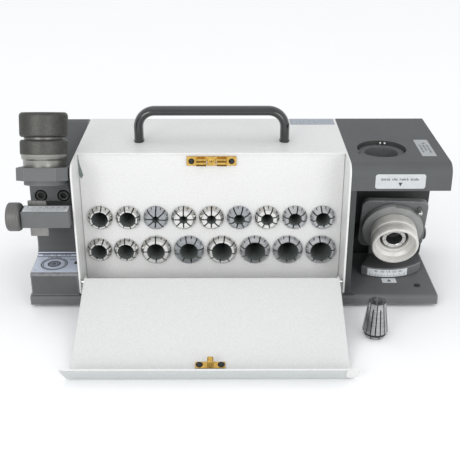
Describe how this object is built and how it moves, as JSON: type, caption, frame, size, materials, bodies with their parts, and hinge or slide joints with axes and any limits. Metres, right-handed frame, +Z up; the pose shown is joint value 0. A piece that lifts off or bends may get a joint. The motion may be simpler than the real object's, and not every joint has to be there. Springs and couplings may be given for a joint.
{
  "type": "drill bit sharpener",
  "caption": "Bench drill bit sharpener: collet store behind a drop-down door, setting station on the left, swivelling drill chuck under a hood on the right, carry handle on top.",
  "frame": {"origin": "bottom centre of the whole machine's box, door open, on the surface that it stands on", "axes": "+X to the right along the front, +Y from the front to the back, +Z up"},
  "size_m": [0.3626, 0.2374, 0.1693],
  "materials": {
    "cast_grey": "textured grey paint on castings",
    "white_paint": "satin white powder coat on sheet steel",
    "bright_steel": "ground and polished spring steel",
    "dark_steel": "oil-blackened knurled steel",
    "aluminium": "fine turned aluminium",
    "brass": "polished brass",
    "black_plastic": "matte black",
    "black_gloss": "gloss black",
    "grinding_stone": "resin-bonded diamond wheel"
  },
  "bodies": {
    "machine": {"base_plate": "cast_grey", "foot_front_left": "black_plastic", "foot_front_right": "black_plastic", "foot_back_left": "black_plastic", "foot_back_right": "black_plastic", "left_casting": "cast_grey", "right_casting": "cast_grey", "motor_cover": "white_paint", "collet_panel": "white_paint", "carry_handle": "black_gloss", "catch_body": "brass", "hinge_pin_left": "bright_steel", "hinge_pin_right": "bright_steel", "ring_holder": "cast_grey", "holder_screw_left": "dark_steel", "holder_screw_right": "dark_steel", "stop_plate": "bright_steel", "port_ring": "dark_steel", "motor_body": "dark_steel", "bearing_left": "bright_steel", "bearing_right": "bright_steel", "power_inlet": "black_plastic"},
    "door": {"door": "white_paint", "strike": "brass"},
    "catch_ball_left": {"catch_ball_left": "bright_steel"},
    "catch_ball_right": {"catch_ball_right": "bright_steel"},
    "setting_chuck": {"chuck_sleeve": "dark_steel"},
    "chuck_nut": {"chuck_nut": "dark_steel"},
    "stop_block": {"stop_block": "cast_grey"},
    "stop_knob": {"stop_knob": "cast_grey"},
    "point_fixture": {"swivel_base": "cast_grey", "fixture_plate": "cast_grey", "cam_pin": "bright_steel"},
    "drill_chuck": {"cam_disc": "cast_grey", "fixture_cup": "aluminium", "fixture_collet": "bright_steel"},
    "side_knob": {"side_knob": "black_plastic"},
    "spindle": {"motor_shaft": "bright_steel", "grinding_wheel": "grinding_stone", "wheel_nut": "bright_steel"},
    "power_rocker": {"power_rocker": "black_gloss"},
    "loose_collet": {"loose_collet": "bright_steel"},
    "collet_top_1": {"collet_top_1": "bright_steel"},
    "collet_top_2": {"collet_top_2": "bright_steel"},
    "collet_top_3": {"collet_top_3": "bright_steel"},
    "collet_top_4": {"collet_top_4": "bright_steel"},
    "collet_top_5": {"collet_top_5": "bright_steel"},
    "collet_top_6": {"collet_top_6": "bright_steel"},
    "collet_top_7": {"collet_top_7": "bright_steel"},
    "collet_top_8": {"collet_top_8": "bright_steel"},
    "collet_top_9": {"collet_top_9": "bright_steel"},
    "collet_low_small_1": {"collet_low_small_1": "bright_steel"},
    "collet_low_small_2": {"collet_low_small_2": "bright_steel"},
    "collet_low_large_1": {"collet_low_large_1": "bright_steel"},
    "collet_low_large_2": {"collet_low_large_2": "bright_steel"},
    "collet_low_large_3": {"collet_low_large_3": "bright_steel"},
    "collet_low_large_4": {"collet_low_large_4": "bright_steel"},
    "collet_low_large_5": {"collet_low_large_5": "bright_steel"},
    "collet_low_large_6": {"collet_low_large_6": "bright_steel"}
  },
  "joints": [
    {"name": "door_hinge", "type": "hinge", "parent": "machine", "child": "door", "pos_m": [-0.01645, -0.00277, 0.0235], "axis": [1, 0, 0], "range_deg": [-112, 0]},
    {"name": "catch_ball_left_push", "type": "slide", "parent": "machine", "child": "catch_ball_left", "axis": [-1, 0, 0], "range_m": [0, 0.0015], "stiffness_N_per_m": 300},
    {"name": "catch_ball_right_push", "type": "slide", "parent": "machine", "child": "catch_ball_right", "axis": [1, 0, 0], "range_m": [0, 0.0015], "stiffness_N_per_m": 300},
    {"name": "chuck_lift", "type": "slide", "parent": "machine", "child": "setting_chuck", "axis": [0, 0.309, 0.9511], "range_m": [0, 0.045]},
    {"name": "chuck_nut_turn", "type": "hinge", "parent": "setting_chuck", "child": "chuck_nut", "pos_m": [-0.15065, 0.00773, 0.1175], "axis": [0, 0.309, 0.9511], "continuous": true},
    {"name": "stop_knob_turn", "type": "hinge", "parent": "stop_block", "child": "stop_knob", "pos_m": [-0.17645, -0.00527, 0.0848], "axis": [1, 0, 0], "range_deg": [0, 1440]},
    {"name": "stop_slide", "type": "slide", "parent": "machine", "child": "stop_block", "axis": [-1, 0, 0], "range_m": [0, 0.008]},
    {"name": "fixture_swivel", "type": "hinge", "parent": "machine", "child": "point_fixture", "pos_m": [0.13755, 0.06773, 0.015], "axis": [0, 0, 1], "range_deg": [-8, 8]},
    {"name": "drill_chuck_turn", "type": "hinge", "parent": "point_fixture", "child": "drill_chuck", "pos_m": [0.14155, 0.04173, 0.053], "axis": [-0.0533, -0.9533, -0.2974], "continuous": true},
    {"name": "side_knob_turn", "type": "hinge", "parent": "machine", "child": "side_knob", "pos_m": [0.17755, 0.08473, 0.0275], "axis": [1, 0, 0], "range_deg": [-90, 90]},
    {"name": "spindle_turn", "type": "hinge", "parent": "machine", "child": "spindle", "pos_m": [-0.01645, 0.08873, 0.07], "axis": [1, 0, 0], "continuous": true},
    {"name": "power_switch", "type": "hinge", "parent": "machine", "child": "power_rocker", "pos_m": [0.05105, 0.11173, 0.043], "axis": [1, 0, 0], "range_deg": [-5, 5]},
    {"name": "loose_collet_lift", "type": "slide", "parent": "machine", "child": "loose_collet", "axis": [0, 0, 1], "range_m": [0, 0.05]},
    {"name": "collet_top_1_pull", "type": "slide", "parent": "machine", "child": "collet_top_1", "axis": [0, -1, 0], "range_m": [0, 0.045]},
    {"name": "collet_top_2_pull", "type": "slide", "parent": "machine", "child": "collet_top_2", "axis": [0, -1, 0], "range_m": [0, 0.045]},
    {"name": "collet_top_3_pull", "type": "slide", "parent": "machine", "child": "collet_top_3", "axis": [0, -1, 0], "range_m": [0, 0.045]},
    {"name": "collet_top_4_pull", "type": "slide", "parent": "machine", "child": "collet_top_4", "axis": [0, -1, 0], "range_m": [0, 0.045]},
    {"name": "collet_top_5_pull", "type": "slide", "parent": "machine", "child": "collet_top_5", "axis": [0, -1, 0], "range_m": [0, 0.045]},
    {"name": "collet_top_6_pull", "type": "slide", "parent": "machine", "child": "collet_top_6", "axis": [0, -1, 0], "range_m": [0, 0.045]},
    {"name": "collet_top_7_pull", "type": "slide", "parent": "machine", "child": "collet_top_7", "axis": [0, -1, 0], "range_m": [0, 0.045]},
    {"name": "collet_top_8_pull", "type": "slide", "parent": "machine", "child": "collet_top_8", "axis": [0, -1, 0], "range_m": [0, 0.045]},
    {"name": "collet_top_9_pull", "type": "slide", "parent": "machine", "child": "collet_top_9", "axis": [0, -1, 0], "range_m": [0, 0.045]},
    {"name": "collet_low_small_1_pull", "type": "slide", "parent": "machine", "child": "collet_low_small_1", "axis": [0, -1, 0], "range_m": [0, 0.045]},
    {"name": "collet_low_small_2_pull", "type": "slide", "parent": "machine", "child": "collet_low_small_2", "axis": [0, -1, 0], "range_m": [0, 0.045]},
    {"name": "collet_low_large_1_pull", "type": "slide", "parent": "machine", "child": "collet_low_large_1", "axis": [0, -1, 0], "range_m": [0, 0.02]},
    {"name": "collet_low_large_2_pull", "type": "slide", "parent": "machine", "child": "collet_low_large_2", "axis": [0, -1, 0], "range_m": [0, 0.02]},
    {"name": "collet_low_large_3_pull", "type": "slide", "parent": "machine", "child": "collet_low_large_3", "axis": [0, -1, 0], "range_m": [0, 0.02]},
    {"name": "collet_low_large_4_pull", "type": "slide", "parent": "machine", "child": "collet_low_large_4", "axis": [0, -1, 0], "range_m": [0, 0.02]},
    {"name": "collet_low_large_5_pull", "type": "slide", "parent": "machine", "child": "collet_low_large_5", "axis": [0, -1, 0], "range_m": [0, 0.02]},
    {"name": "collet_low_large_6_pull", "type": "slide", "parent": "machine", "child": "collet_low_large_6", "axis": [0, -1, 0], "range_m": [0, 0.02]}
  ],
  "couplings": [
    {"joint": "stop_knob_turn", "follows": "stop_slide", "rad_per_m": 3141.6}
  ]
}
